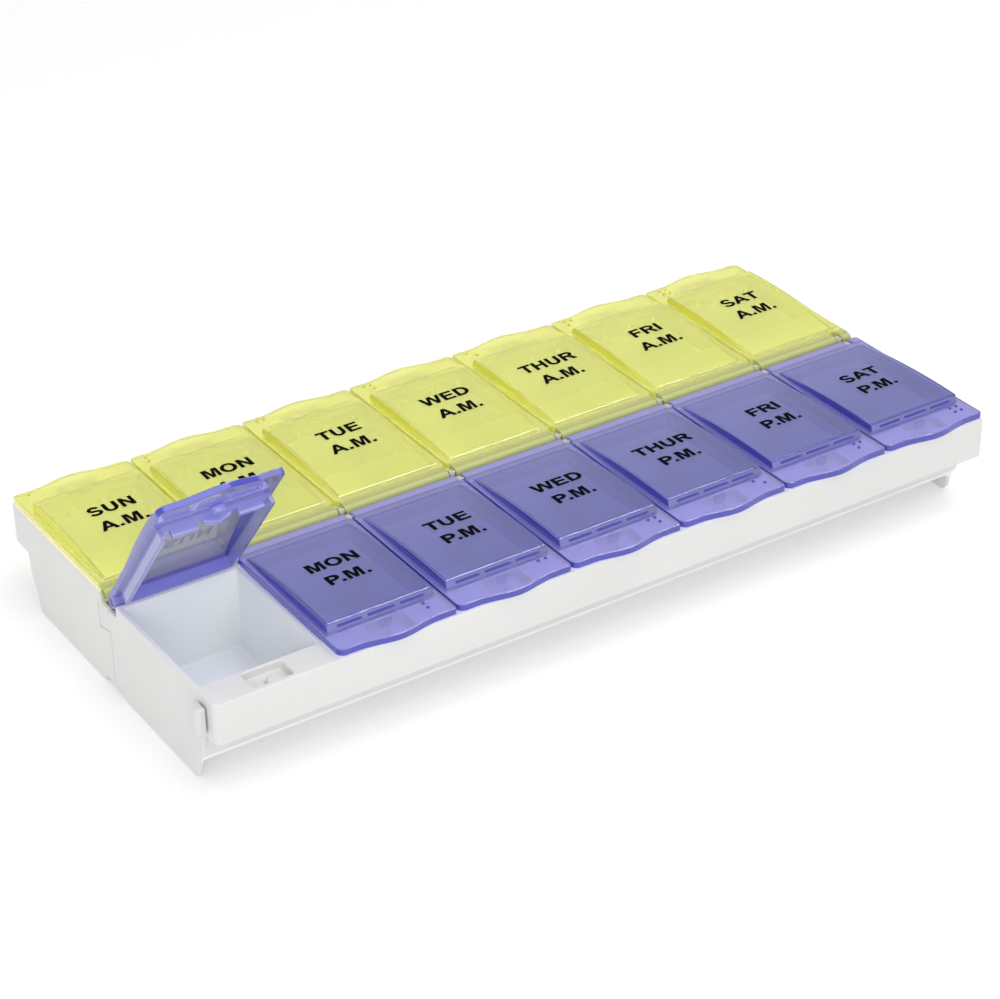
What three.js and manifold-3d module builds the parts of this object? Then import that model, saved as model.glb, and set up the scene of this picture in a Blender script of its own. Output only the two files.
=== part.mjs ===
// Travel pill organizer: two white trays with seven cells each, joined along a centre line, and
// fourteen hinged lids (rear row a.m., front row p.m.). Millimetres, +Z up, +Y to the rear.
import * as THREE from 'three';
import * as BufferGeometryUtils from 'three/addons/utils/BufferGeometryUtils.js';
import Module from 'manifold-3d';

const wasm = await Module();
wasm.setup();

// ---- driving dimensions -------------------------------------------------------------------
const PITCH = 31.2;                 // one day along X
const DAYS = ['sun', 'mon', 'tue', 'wed', 'thur', 'fri', 'sat'];
const LENGTH = PITCH * DAYS.length; // 218.4 overall
const BAND_Y = 50.8;                // outer face of the front band, from the centre line
const LEDGE_Z = 25.6;               // top face of the tray
const BAND_BOTTOM = 14.8;           // lower edge of the front band
const LEDGE_T = 1.6;                // wall of the ledge and of the band
const WALL = 1.2;                   // end walls and dividers
const BACK_Y = [3.9, 4.9];          // hinge-side wall of the cells
const CELL_FRONT = 42.3;            // inner face of the front wall of a cell
const FLOOR_Z = [3.6, 4.8];         // underside and top of the cell floor
const SEAM = 0.15;                  // half the gap between the two trays
const NOTCH = { z: 1.7, rear: 4.9, front: 3.2, rampEnd: 6.2 };
const POCKET = { x: [10.6, 20.7], y: [43.2, 49.3], depth: 2.0 };
const BUMP = { x: 16.6, y: 48.2, r: 2.5, h: 1.5 };
const PEG = { y: [43.4, 47.4], z: [16.4, 23.4], out: 2.9 };

const AXIS_Y = 1.9;                 // hinge axis from the centre line
const AXIS_Z = 25.7;
const ROD_R = 0.8;
const BORE_R = 1.1;
const BARREL_R = 1.7;
const LUG_W = 1.4;                  // tray lug that carries the rod
const LUG_GAP = 0.3;
const END_LUG_X = 3.2;              // lug inside the outermost barrel of each row

const LID_GAP = 0.2;                // lid edge to the pitch line
const FLANGE_Z = [25.85, 27.6];
const FLANGE_BACK = 3.9;
const FLANGE_FRONT = 50.5;
const TAB_FRONT = 52.1;             // thumb tab in the middle of the front edge
const TAB_HALF = 10.4;
const CORNER = { left: 2.0, right: 0.9 };
const DOME_HALF = 14.0;
const DOME_WALL = 1.1;
const DOME_Y = [5.3, 43.3];         // base of the dome
const DOME_TOP_FRONT = 42.2;        // the front face leans back
const DOME_Z = [27.75, 29.4];       // top face at the hinge and at the front
const DOME_RISE = 0.85;             // bow of the top face above its chord
const SKIRT_Y = [5.3, 41.9];
const SKIRT_BOTTOM = 22.9;
const RIDGE_BOTTOM = 24.6;          // the front run of the skirt is shallower
const TONGUES = [[-11.3, -4.9], [-3.4, 3.7], [5.1, 11.4]];
const OPEN_AT_REST = 52;            // degrees, the lid of the first p.m. cell

// ---- helpers ------------------------------------------------------------------------------
function solid(geometry) {
  const plain = geometry.clone();
  plain.deleteAttribute('normal');
  plain.deleteAttribute('uv');
  const merged = BufferGeometryUtils.mergeVertices(plain, 1e-4);
  return new wasm.Manifold(new wasm.Mesh({
    numProp: 3,
    vertProperties: new Float32Array(merged.attributes.position.array),
    triVerts: new Uint32Array(merged.index.array),
  }));
}

function box(x0, x1, y0, y1, z0, z1) {
  const g = new THREE.BoxGeometry(x1 - x0, y1 - y0, z1 - z0);
  g.translate((x0 + x1) / 2, (y0 + y1) / 2, (z0 + z1) / 2);
  return solid(g);
}

// Prism along X from a closed outline of [y, z] pairs.
function prismX(outline, x0, x1, reshape) {
  const shape = new THREE.Shape(outline.map(([y, z]) => new THREE.Vector2(y, z)));
  const g = new THREE.ExtrudeGeometry(shape, { depth: x1 - x0, bevelEnabled: false, steps: 1 });
  const turn = new THREE.Matrix4().set(0, 0, 1, x0, 1, 0, 0, 0, 0, 1, 0, 0, 0, 0, 0, 1);
  g.applyMatrix4(turn);
  if (reshape) {
    const p = g.attributes.position;
    for (let i = 0; i < p.count; i += 1) {
      p.setX(i, reshape(p.getX(i), p.getY(i), p.getZ(i)));
    }
  }
  return solid(g);
}

// Cylinder along X.
function rodX(x0, x1, y, z, r, sides) {
  const g = new THREE.CylinderGeometry(r, r, x1 - x0, sides);
  g.rotateZ(Math.PI / 2);
  g.translate((x0 + x1) / 2, y, z);
  return solid(g);
}

function union(list) {
  return list.reduce((a, b) => a.add(b));
}

function mesh(name, manifold, material) {
  const m = manifold.getMesh();
  const g = new THREE.BufferGeometry();
  g.setAttribute('position', new THREE.BufferAttribute(new Float32Array(m.vertProperties), 3));
  g.setIndex(new THREE.BufferAttribute(new Uint32Array(m.triVerts), 1));
  g.computeVertexNormals();
  const node = new THREE.Mesh(g, material);
  node.name = name;
  return node;
}

function plastic(color, roughness) {
  return new THREE.MeshStandardMaterial({ color, roughness, metalness: 0 });
}

const WHITE = plastic(0xf0f1f3, 0.35);
const YELLOW = plastic(0xdfe070, 0.22);
const VIOLET = plastic(0x7f83c4, 0.22);
const GREY = plastic(0xc9cbcd, 0.4);
const STEEL = new THREE.MeshStandardMaterial({ color: 0x9a9ea4, roughness: 0.35, metalness: 1 });

// ---- trays --------------------------------------------------------------------------------
// The tray is drawn in the front position (cells towards -Y). The rear tray is the same
// moulding turned half a turn about the vertical.
const X0 = -LENGTH / 2;
const X1 = LENGTH / 2;

// Outer profile of the row of cells, [y, z], without the ledge.
const BODY = [
  [-BACK_Y[0], LEDGE_Z], [-43.5, LEDGE_Z], [-43.5, 9.6], [-42.6, 7.0], [-40.9, 4.9],
  [-38.6, FLOOR_Z[0]], [-BACK_Y[0], FLOOR_Z[0]],
];
// Inner profile of one cell.
const CELL = [
  [-BACK_Y[1], LEDGE_Z + 1], [-CELL_FRONT, LEDGE_Z + 1], [-CELL_FRONT, 10.2],
  [-41.3, 7.7], [-39.7, 5.9], [-37.4, FLOOR_Z[1]], [-6.4, FLOOR_Z[1]],
];
// End wall and foot, [y, z].
const END = [
  [-SEAM, 22.6], [-3.9, 22.6], [-3.9, LEDGE_Z], [-BAND_Y + 0.4, LEDGE_Z],
  [-BAND_Y + 0.4, BAND_BOTTOM + 0.5], [-44.3, BAND_BOTTOM + 0.5], [-43.6, 9.5],
  [-41.4, 6.2], [-40.4, 1.0], [-39.4, 0], [-NOTCH.rampEnd, 0],
  [-NOTCH.front, NOTCH.z], [-SEAM, NOTCH.z],
];
// The other end is mirrored end for end, and its notch has a square step.
const END_FAR = [
  ...END.slice(0, 10), [-NOTCH.rear, 0], [-NOTCH.rear, NOTCH.z], [-SEAM, NOTCH.z],
];
// Key that hooks the end wall of one tray into the other.
const KEY = [[-0.6, 16.7], [5.4, 15.4], [5.4, 21.9], [-0.6, 21.3]];
const KEY_SLOT = [[0.0, 16.3], [5.7, 15.05], [5.7, 22.25], [0.0, 21.7]];

function cellCut(k) {
  const a = X0 + k * PITCH + (k === 0 ? WALL : WALL / 2);
  const b = X0 + (k + 1) * PITCH - (k === DAYS.length - 1 ? WALL : WALL / 2);
  const mid = (a + b) / 2;
  const taper = (x, y, z) => mid + (x - mid) * (1 - 0.0033 * (LEDGE_Z - z));
  return prismX(CELL, a, b, taper);
}

function lugPositions(turned) {
  const inner = DAYS.slice(1).map((_, i) => X0 + (i + 1) * PITCH);
  const ends = [X0 + END_LUG_X + LUG_W / 2, X1 - END_LUG_X - LUG_W / 2];
  const all = [...inner, ...ends];
  return turned ? all.map((x) => -x) : all;
}

function tray() {
  const end = prismX(END, X0, X0 + WALL);
  const far = prismX(END_FAR, X1 - WALL, X1);
  const hullParts = [
    prismX(BODY, X0, X1),
    box(X0, X1, -BAND_Y, -42.4, LEDGE_Z - LEDGE_T, LEDGE_Z),
    box(X0, X1, -BAND_Y, -BAND_Y + LEDGE_T, BAND_BOTTOM, LEDGE_Z),
    box(X0, X0 + WALL, -BAND_Y, -42.4, BAND_BOTTOM, LEDGE_Z),
    box(X1 - WALL, X1, -BAND_Y, -42.4, BAND_BOTTOM, LEDGE_Z),
    end,
    far,
    prismX(KEY, X0, X0 + WALL),
  ];
  for (const x of lugPositions(false)) {
    hullParts.push(box(x - LUG_W / 2, x + LUG_W / 2, -5.2, -0.3, 20.4, AXIS_Z));
    hullParts.push(rodX(x - LUG_W / 2, x + LUG_W / 2, -AXIS_Y, AXIS_Z, 1.6, 12));
  }
  DAYS.forEach((_, k) => {
    const x = X0 + k * PITCH;
    hullParts.push(box(x + POCKET.x[0] - 1.2, x + POCKET.x[1] + 1.2, -POCKET.y[1] - 1.2,
      -42.4, LEDGE_Z - POCKET.depth - 1.2, LEDGE_Z - 0.4));
  });
  let body = union(hullParts);
  DAYS.forEach((_, k) => {
    const x = X0 + k * PITCH;
    body = body.subtract(cellCut(k));
    body = body.subtract(box(x + POCKET.x[0], x + POCKET.x[1], -POCKET.y[1], -POCKET.y[0],
      LEDGE_Z - POCKET.depth, LEDGE_Z + 1));
    const g = new THREE.CylinderGeometry(BUMP.r * 0.72, BUMP.r, BUMP.h + 0.1, 12);
    g.rotateX(Math.PI / 2);
    g.translate(x + BUMP.x, -BUMP.y, LEDGE_Z - POCKET.depth + BUMP.h / 2 - 0.05);
    body = body.add(solid(g));
  });
  for (const x of lugPositions(false)) {
    body = body.subtract(rodX(x - 2, x + 2, -AXIS_Y, AXIS_Z, BORE_R, 12));
  }
  const slot = prismX(KEY_SLOT, X0 - 1, X0 + WALL + 0.5).rotate([0, 0, 180]);
  return body.subtract(slot);
}

// ---- lids ---------------------------------------------------------------------------------
// One lid in the closed front position, x measured from the middle of its cell.
const HALF = PITCH / 2 - LID_GAP;

function flangeShape() {
  const pts = [];
  const corner = (cx, r, from) => {
    for (let i = 0; i <= 3; i += 1) {
      const a = from - (Math.PI / 2) * (i / 3);
      pts.push([cx + r * Math.cos(a), FLANGE_FRONT - r + r * Math.sin(a)]);
    }
  };
  corner(-HALF + CORNER.left, CORNER.left, Math.PI);
  for (const t of [-1, -0.78, -0.55, -0.3, 0, 0.3, 0.55, 0.78, 1]) {
    const u = Math.abs(t);
    const rise = 1 - u * u * (3 - 2 * u);
    pts.push([t * TAB_HALF, FLANGE_FRONT + (TAB_FRONT - FLANGE_FRONT) * rise]);
  }
  corner(HALF - CORNER.right, CORNER.right, Math.PI / 2);
  pts.push([HALF, FLANGE_BACK + 0.8], [HALF - 0.8, FLANGE_BACK]);
  pts.push([-HALF + 0.8, FLANGE_BACK], [-HALF, FLANGE_BACK + 0.8]);
  return new THREE.Shape(pts.map(([x, y]) => new THREE.Vector2(x, -y)));
}

function archLine(drop, n) {
  const out = [];
  for (let i = 0; i <= n; i += 1) {
    const t = i / n;
    const y = DOME_Y[0] + (DOME_TOP_FRONT - DOME_Y[0]) * t;
    const z = DOME_Z[0] + (DOME_Z[1] - DOME_Z[0]) * t + 4 * DOME_RISE * t * (1 - t) - drop;
    out.push([-y, z]);
  }
  return out;
}

function lid(barrels) {
  const plate = new THREE.ExtrudeGeometry(flangeShape(),
    { depth: FLANGE_Z[1] - FLANGE_Z[0], bevelEnabled: false, steps: 1 });
  plate.translate(0, 0, FLANGE_Z[0]);
  const top = archLine(0, 6);
  const outer = [...top, [-DOME_Y[1], FLANGE_Z[0] + 0.2], [-DOME_Y[0], FLANGE_Z[0] + 0.2]];
  const lean = (x, y, z) => x * (1 - 0.006 * Math.max(0, z - FLANGE_Z[1]));
  const ring = [
    prismX([[-SKIRT_Y[0], SKIRT_BOTTOM], [-SKIRT_Y[0], FLANGE_Z[1]],
      [-SKIRT_Y[1], FLANGE_Z[1]], [-SKIRT_Y[1], SKIRT_BOTTOM]], -DOME_HALF, DOME_HALF),
  ];
  let body = union([solid(plate), prismX(outer, -DOME_HALF, DOME_HALF, lean), ...ring]);
  const under = archLine(DOME_WALL, 6);
  const inFront = -SKIRT_Y[1] + DOME_WALL;
  const inBack = -SKIRT_Y[0] - DOME_WALL;
  const hollow = [
    [inBack, SKIRT_BOTTOM - 1], [inBack, under[0][1]],
    ...under.filter(([y]) => y < inBack && y > inFront),
    [inFront, under[6][1]],
    [inFront, SKIRT_BOTTOM - 1],
  ];
  const inner = DOME_HALF - DOME_WALL;
  body = body.subtract(prismX(hollow, -inner, inner));
  body = body.subtract(box(-inner, inner, -SKIRT_Y[1] - 1, inFront + 0.01,
    SKIRT_BOTTOM - 1, RIDGE_BOTTOM));
  for (const [a, b] of TONGUES) {
    body = body.add(box(a, b, -SKIRT_Y[1] + 0.1, inFront + 0.1, SKIRT_BOTTOM, RIDGE_BOTTOM + 0.5));
  }
  const pin = new THREE.CylinderGeometry(1.8, 1.6, 1.9, 10);
  pin.rotateX(Math.PI / 2);
  pin.scale(1, 0.42, 1);
  pin.translate(0, -44.45, FLANGE_Z[0] - 0.7);
  body = body.add(solid(pin));
  for (const [a, b] of barrels) {
    body = body.add(rodX(a, b, -AXIS_Y, AXIS_Z, BARREL_R, 12));
    body = body.add(box(a, b, -FLANGE_BACK - 0.6, -AXIS_Y, AXIS_Z + 0.25, FLANGE_Z[1] - 0.02));
  }
  for (const [a, b] of barrels) {
    body = body.subtract(rodX(a - 0.5, b + 0.5, -AXIS_Y, AXIS_Z, BORE_R, 12));
  }
  return body;
}

// Barrel segments of a lid, leaving room for the tray lugs.
function barrelsFor(k) {
  const edge = PITCH / 2 - LUG_W / 2 - LUG_GAP;
  const lugIn = PITCH / 2 - END_LUG_X;
  const lo = k === 0
    ? [[-HALF, -lugIn - LUG_GAP], [-lugIn + LUG_W + LUG_GAP, edge]]
    : [[-edge, edge]];
  if (k !== DAYS.length - 1) return lo;
  return [[-edge, lugIn - LUG_W - LUG_GAP], [lugIn + LUG_GAP, HALF]];
}

function placedLid(k, row) {
  const slotIndex = row === 'pm' ? k : DAYS.length - 1 - k;
  let body = lid(barrelsFor(slotIndex));
  if (row === 'pm' && k === 0) {
    body = body.translate([0, AXIS_Y, -AXIS_Z]).rotate([-OPEN_AT_REST, 0, 0])
      .translate([0, -AXIS_Y, AXIS_Z]);
  }
  body = body.translate([X0 + (slotIndex + 0.5) * PITCH, 0, 0]);
  return row === 'pm' ? body : body.rotate([0, 0, 180]);
}

// ---- small parts --------------------------------------------------------------------------
function rod() {
  return rodX(X0 + 0.6, X1 - 0.6, -AXIS_Y, AXIS_Z, ROD_R, 12);
}

function peg() {
  const s = new THREE.Shape();
  const [a, b] = PEG.y;
  const out = PEG.out;
  s.moveTo(-0.3, -b);
  s.lineTo(-out + 1.2, -b);
  s.quadraticCurveTo(-out, -b, -out, -b + 1.2);
  s.lineTo(-out, -a - 0.6);
  s.quadraticCurveTo(-out, -a, -out + 0.6, -a);
  s.lineTo(-0.3, -a);
  s.closePath();
  const g = new THREE.ExtrudeGeometry(s,
    { depth: PEG.z[1] - PEG.z[0], bevelEnabled: false, curveSegments: 5 });
  g.translate(X0, 0, PEG.z[0]);
  return solid(g);
}

// ---- assembly -----------------------------------------------------------------------------
const organizer = new THREE.Group();
organizer.name = 'travel_pill_organizer';

const front = tray();
organizer.add(mesh('tray_pm', front, WHITE));
organizer.add(mesh('tray_am', front.rotate([0, 0, 180]), WHITE));
organizer.add(mesh('hinge_rod_pm', rod(), STEEL));
organizer.add(mesh('hinge_rod_am', rod().rotate([0, 0, 180]), STEEL));
organizer.add(mesh('end_peg_pm', peg(), GREY));
organizer.add(mesh('end_peg_am', peg().rotate([0, 0, 180]), GREY));
DAYS.forEach((day, k) => {
  organizer.add(mesh(`lid_am_${day}`, placedLid(k, 'am'), YELLOW));
});
DAYS.forEach((day, k) => {
  organizer.add(mesh(`lid_pm_${day}`, placedLid(k, 'pm'), VIOLET));
});

export default organizer;
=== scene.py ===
"""Travel pill organizer: two white trays, fourteen hinged translucent lids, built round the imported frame."""

import math

import bmesh
import bpy
from mathutils import Matrix, Vector


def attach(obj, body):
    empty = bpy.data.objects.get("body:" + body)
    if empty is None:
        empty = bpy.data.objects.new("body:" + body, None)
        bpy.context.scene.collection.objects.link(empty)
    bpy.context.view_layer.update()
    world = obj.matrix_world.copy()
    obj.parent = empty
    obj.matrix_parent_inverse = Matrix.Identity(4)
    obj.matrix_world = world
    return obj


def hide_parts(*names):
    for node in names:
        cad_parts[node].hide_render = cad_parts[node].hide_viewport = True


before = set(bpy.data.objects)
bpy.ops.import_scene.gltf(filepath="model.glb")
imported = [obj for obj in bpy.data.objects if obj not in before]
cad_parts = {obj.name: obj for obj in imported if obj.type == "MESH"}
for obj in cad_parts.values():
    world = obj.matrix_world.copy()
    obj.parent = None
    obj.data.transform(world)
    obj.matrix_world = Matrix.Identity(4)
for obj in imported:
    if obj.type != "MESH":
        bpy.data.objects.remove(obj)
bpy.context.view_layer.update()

MM = 0.001
DAYS = ["sun", "mon", "tue", "wed", "thur", "fri", "sat"]
PITCH = 31.2
X0, X1 = -PITCH * len(DAYS) / 2, PITCH * len(DAYS) / 2
OPEN_AT_REST = 52.0

# Tray in the front position, cells towards -Y (millimetres, y as a distance from the centre line)
BAND_Y, BAND_BOTTOM = 50.8, 14.8
LEDGE_Z, LEDGE_T = 25.6, 1.6
FRONT_WALL_Y, BACK_WALL_Y = 43.5, 3.9
CELL_Y = (4.9, 42.3)
FLOOR_Z = (3.6, 4.8)
WALL = 1.2
SEAM = 0.08
NOTCH_Z, NOTCH_Y, RAMP = 1.7, 4.9, (3.2, 6.2)
SOFT = 0.32
CORNER_R = 1.5
POCKET_X, POCKET_Y, POCKET_DEPTH = (10.6, 20.7), (43.2, 49.3), 2.0
BUMP_X, BUMP_Y, BUMP_R, BUMP_H = 16.6, 47.6, 2.0, 1.5
PEG_Y, PEG_Z, PEG_OUT = (43.4, 47.4), (16.4, 23.4), 2.9

# Lid, in the closed front position, x from the middle of its cell
HALF = PITCH / 2 - 0.2
FLANGE_Z = (25.85, 27.6)
FLANGE_BACK = 3.9
FLANGE_FRONT = 50.5
TAB_FRONT = 52.1
TAB_HALF = 10.4
CORNER_LEFT, CORNER_RIGHT = 2.0, 0.9
DOME_HALF = 14.0
DOME_WALL = 1.1
DOME_Y = (5.3, 43.3)
DOME_TOP_FRONT = 42.2
DOME_Z = (27.75, 29.4)
DOME_RISE = 0.85
SKIRT_Y = (5.3, 41.9)
SKIRT_BOTTOM = 22.9
RIDGE_BOTTOM = 24.6
TONGUES = ((-11.3, -4.9), (5.1, 11.4))
MIDDLE_TONGUE = (-3.4, 3.7)
PIN_Y = 44.45

# Hinge
AXIS_Y, AXIS_Z = 1.9, 25.7
BARREL_R, BORE_R, LUG_R = 1.7, 1.1, 1.4
LUG_W, LUG_GAP, END_LUG_X = 1.4, 0.3, 3.2

# Print: cap height, width unit, added stroke weight, baselines and sideways shift
CAP, EM, BOLD = 3.8, 5.95, 0.014
KERN = {"P.": -0.125}
INK_T, INK_LIFT = 0.01, 0.03
BASELINES = {"pm": (-22.3, -29.4), "am": (27.8, 20.9)}
PRINT_SHIFT = {"pm": 0.5, "am": 0.7}

# Braille dots on the thumb tab, and ribs on the dome's front
DOT_X, DOT_Y = (9.9, 11.9), (44.6, 46.6, 48.6)
DOT_R, DOT_H = 0.42, 0.3
RIB_Z, RIB_OUT = (0.5, 1.05), 0.12
BRAILLE = {"sun": (1,), "mon": (1, 2), "tue": (1, 4), "wed": (1, 4, 5), "thur": (1, 5),
           "fri": (1, 2, 4), "sat": (1, 2, 4, 5)}

# Camera and light (metres)
LENS, SENSOR = 98.46, 36.0
EYE = (-0.31706, -0.48281, 0.36674)
EYE_TURN = (0.8342732, 0.4701037, -0.1362403, -0.2538292)
SKY_COLOUR, SKY_STRENGTH = (1.0, 0.995, 0.985), 0.73

collection = bpy.context.scene.collection


# ---- mesh helpers ---------------------------------------------------------------------------
def to_object(name, bm):
    bmesh.ops.recalc_face_normals(bm, faces=bm.faces)
    me = bpy.data.meshes.new(name)
    bm.to_mesh(me)
    bm.free()
    ob = bpy.data.objects.new(name, me)
    collection.objects.link(ob)
    return ob


def prism(outline, axis, a, b, soft=0.0, segments=2, reshape=None):
    """A closed prism along axis from a to b. outline is (y, z), (x, z) or (x, y) pairs."""
    bm = bmesh.new()
    place = {"x": lambda u, v, w: (w, u, v), "y": lambda u, v, w: (u, w, v),
             "z": lambda u, v, w: (u, v, w)}[axis]
    low = [bm.verts.new(place(u, v, a)) for u, v in outline]
    high = [bm.verts.new(place(u, v, b)) for u, v in outline]
    bm.faces.new(low)
    bm.faces.new(list(reversed(high)))
    n = len(outline)
    for i in range(n):
        j = (i + 1) % n
        bm.faces.new((low[j], low[i], high[i], high[j]))
    if reshape:
        for v in bm.verts:
            v.co = reshape(v.co)
    bmesh.ops.recalc_face_normals(bm, faces=bm.faces)
    if soft > 0:
        edges = [e for e in bm.edges if e.calc_face_angle(0) > math.radians(35)]
        bmesh.ops.bevel(bm, geom=edges, offset=soft, segments=segments, profile=0.5,
                        affect="EDGES", clamp_overlap=True)
    return to_object("part", bm)


def block(x0, x1, y0, y1, z0, z1, soft=0.0, segments=2):
    return prism([(x0, y0), (x1, y0), (x1, y1), (x0, y1)], "z", z0, z1, soft, segments)


def add_rings(bm, rings):
    loops = [[bm.verts.new((x, y, z)) for x, y in outline] for z, outline in rings]
    bm.faces.new(list(reversed(loops[0])))
    bm.faces.new(loops[-1])
    for low, high in zip(loops, loops[1:]):
        for i in range(len(low)):
            j = (i + 1) % len(low)
            bm.faces.new((low[i], low[j], high[j], high[i]))


def loft(rings):
    """A closed solid through rings of (z, [(x, y), ...]), lowest ring first."""
    bm = bmesh.new()
    add_rings(bm, rings)
    return to_object("part", bm)


def arc(cx, cy, rx, ry, start, end, n):
    """n + 1 points on an ellipse, angles in degrees."""
    pts = []
    for i in range(n + 1):
        a = math.radians(start + (end - start) * i / n)
        pts.append((cx + rx * math.cos(a), cy + ry * math.sin(a)))
    return pts


def round_rect(x0, x1, y0, y1, r, n=4):
    return (arc(x1 - r, y1 - r, r, r, 0, 90, n) + arc(x0 + r, y1 - r, r, r, 90, 180, n)
            + arc(x0 + r, y0 + r, r, r, 180, 270, n) + arc(x1 - r, y0 + r, r, r, 270, 360, n))


def circle(cx, cy, r, n=28, squash=1.0):
    return arc(cx, cy, r, r * squash, 0, 360 - 360 / n, n - 1)


def turned(radius, a, b, y, z, sides=28, soft=0.0):
    """A round bar along X."""
    return prism(circle(y, z, radius, sides), "x", a, b, soft)


def combine(base, steps):
    """base with each (operation, object) applied; the operands are used up."""
    for operation, other in steps:
        mod = base.modifiers.new("b", "BOOLEAN")
        mod.operation = operation
        mod.solver = "MANIFOLD"
        mod.object = other
    bake_modifiers(base)
    for _, other in steps:
        me = other.data
        bpy.data.objects.remove(other)
        bpy.data.meshes.remove(me)
    return base


def bake_modifiers(ob):
    dg = bpy.context.evaluated_depsgraph_get()
    dg.update()
    made = bpy.data.meshes.new_from_object(ob.evaluated_get(dg))
    ob.modifiers.clear()
    old = ob.data
    ob.data = made
    bpy.data.meshes.remove(old)


def finish_mesh(ob, name, angle=40.0):
    """Merges flat faces, turns millimetres into metres and sets soft, area-weighted shading."""
    bm = bmesh.new()
    bm.from_mesh(ob.data)
    bmesh.ops.remove_doubles(bm, verts=bm.verts, dist=1e-3)
    bmesh.ops.dissolve_limit(bm, angle_limit=math.radians(0.3), verts=bm.verts, edges=bm.edges)
    bmesh.ops.triangulate(bm, faces=[f for f in bm.faces if len(f.verts) > 4])
    bm.to_mesh(ob.data)
    bm.free()
    ob.data.transform(Matrix.Scale(MM, 4))
    for p in ob.data.polygons:
        p.use_smooth = True
    ob.data.set_sharp_from_angle(angle=math.radians(angle))
    mod = ob.modifiers.new("shade", "WEIGHTED_NORMAL")
    mod.keep_sharp = True
    mod.weight = 80
    bake_modifiers(ob)
    me = ob.data
    me.name = name
    bpy.data.objects.remove(ob)
    return me


# ---- materials ------------------------------------------------------------------------------
def new_material(name):
    mat = bpy.data.materials.new(name)
    mat.use_nodes = True
    nt = mat.node_tree
    nt.nodes.clear()
    out = nt.nodes.new("ShaderNodeOutputMaterial")
    shader = nt.nodes.new("ShaderNodeBsdfPrincipled")
    nt.links.new(shader.outputs["BSDF"], out.inputs["Surface"])
    return mat, nt, out, shader


def noise(nt, scale, detail=4.0, rough=0.55):
    where = nt.nodes.new("ShaderNodeTexCoord")
    tex = nt.nodes.new("ShaderNodeTexNoise")
    tex.inputs["Scale"].default_value = scale
    tex.inputs["Detail"].default_value = detail
    tex.inputs["Roughness"].default_value = rough
    nt.links.new(where.outputs["Object"], tex.inputs["Vector"])
    return tex


def ramp(nt, source, low, high):
    """Maps a 0.3 to 0.7 signal onto a range of numbers or colours."""
    node = nt.nodes.new("ShaderNodeValToRGB")
    node.color_ramp.elements[0].position = 0.3
    node.color_ramp.elements[1].position = 0.7
    as_colour = lambda c: (*c, 1.0) if isinstance(c, tuple) else (c, c, c, 1.0)
    node.color_ramp.elements[0].color = as_colour(low)
    node.color_ramp.elements[1].color = as_colour(high)
    nt.links.new(source, node.inputs["Fac"])
    return node.outputs["Color"]


def bump(nt, shader, height, strength, distance):
    node = nt.nodes.new("ShaderNodeBump")
    node.inputs["Strength"].default_value = strength
    node.inputs["Distance"].default_value = distance
    nt.links.new(height, node.inputs["Height"])
    nt.links.new(node.outputs["Normal"], shader.inputs["Normal"])


def moulded(name, low, high, rough, shine=0.5):
    """Opaque injection-moulded plastic with faint flow marks and handling wear."""
    mat, nt, _, shader = new_material(name)
    cloud = noise(nt, 28.0, 5.0)
    fine = noise(nt, 900.0, 2.0)
    nt.links.new(ramp(nt, cloud.outputs["Fac"], low, high), shader.inputs["Base Color"])
    nt.links.new(ramp(nt, noise(nt, 140.0, 6.0, 0.7).outputs["Fac"], *rough),
                 shader.inputs["Roughness"])
    bump(nt, shader, fine.outputs["Fac"], 0.06, 0.00008)
    shader.inputs["Specular IOR Level"].default_value = shine
    shader.inputs["IOR"].default_value = 1.49
    return mat


def steps_over(nt, source, start, stop, absolute=False):
    """Nought before start and one after stop, for a coordinate or a component of the normal."""
    if absolute:
        size = nt.nodes.new("ShaderNodeMath")
        size.operation = "ABSOLUTE"
        nt.links.new(source, size.inputs[0])
        source = size.outputs["Value"]
    node = nt.nodes.new("ShaderNodeMapRange")
    node.inputs["From Min"].default_value = start
    node.inputs["From Max"].default_value = stop
    nt.links.new(source, node.inputs["Value"])
    return node.outputs["Result"]


def join(nt, operation, a, b):
    node = nt.nodes.new("ShaderNodeMath")
    node.operation = operation
    nt.links.new(a, node.inputs[0])
    nt.links.new(b, node.inputs[1])
    return node.outputs["Value"]


def lid_masks(nt):
    """Masks of a lid: raised window, walls with the flange's rim, dome front, skirt, hinge strip. They place
    the painted shade and painted light tints of clear_plastic.
    """
    where = nt.nodes.new("ShaderNodeTexCoord")
    at, facing = (nt.nodes.new("ShaderNodeSeparateXYZ") for _ in range(2))
    nt.links.new(where.outputs["Object"], at.inputs["Vector"])
    nt.links.new(where.outputs["Normal"], facing.inputs["Vector"])
    top = FLANGE_Z[1]
    window = steps_over(nt, at.outputs["Z"], (top + 0.08) * MM, (top + 0.2) * MM)
    upright = steps_over(nt, facing.outputs["Z"], 0.65, 0.2, absolute=True)
    sideways = steps_over(nt, facing.outputs["X"], 0.4, 0.8, absolute=True)
    rim = steps_over(nt, at.outputs["Y"], -(DOME_Y[1] + 0.6) * MM, -(DOME_Y[1] + 1.0) * MM)
    above = steps_over(nt, at.outputs["Z"], (FLANGE_Z[0] - 0.6) * MM, (FLANGE_Z[0] - 0.2) * MM)
    wall = join(nt, "MULTIPLY", join(nt, "MULTIPLY", upright, above),
                join(nt, "MAXIMUM", sideways, rim))
    hinge = steps_over(nt, at.outputs["Y"], -(FLANGE_BACK + 0.1) * MM, -(FLANGE_BACK - 0.2) * MM)
    forward = steps_over(nt, facing.outputs["Y"], -0.5, -0.8)
    front = join(nt, "MULTIPLY", window, join(nt, "MULTIPLY", forward, upright))
    skirt = steps_over(nt, at.outputs["Z"], FLANGE_Z[0] * MM, (FLANGE_Z[0] - 0.4) * MM)
    return window, wall, front, skirt, hinge


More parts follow.
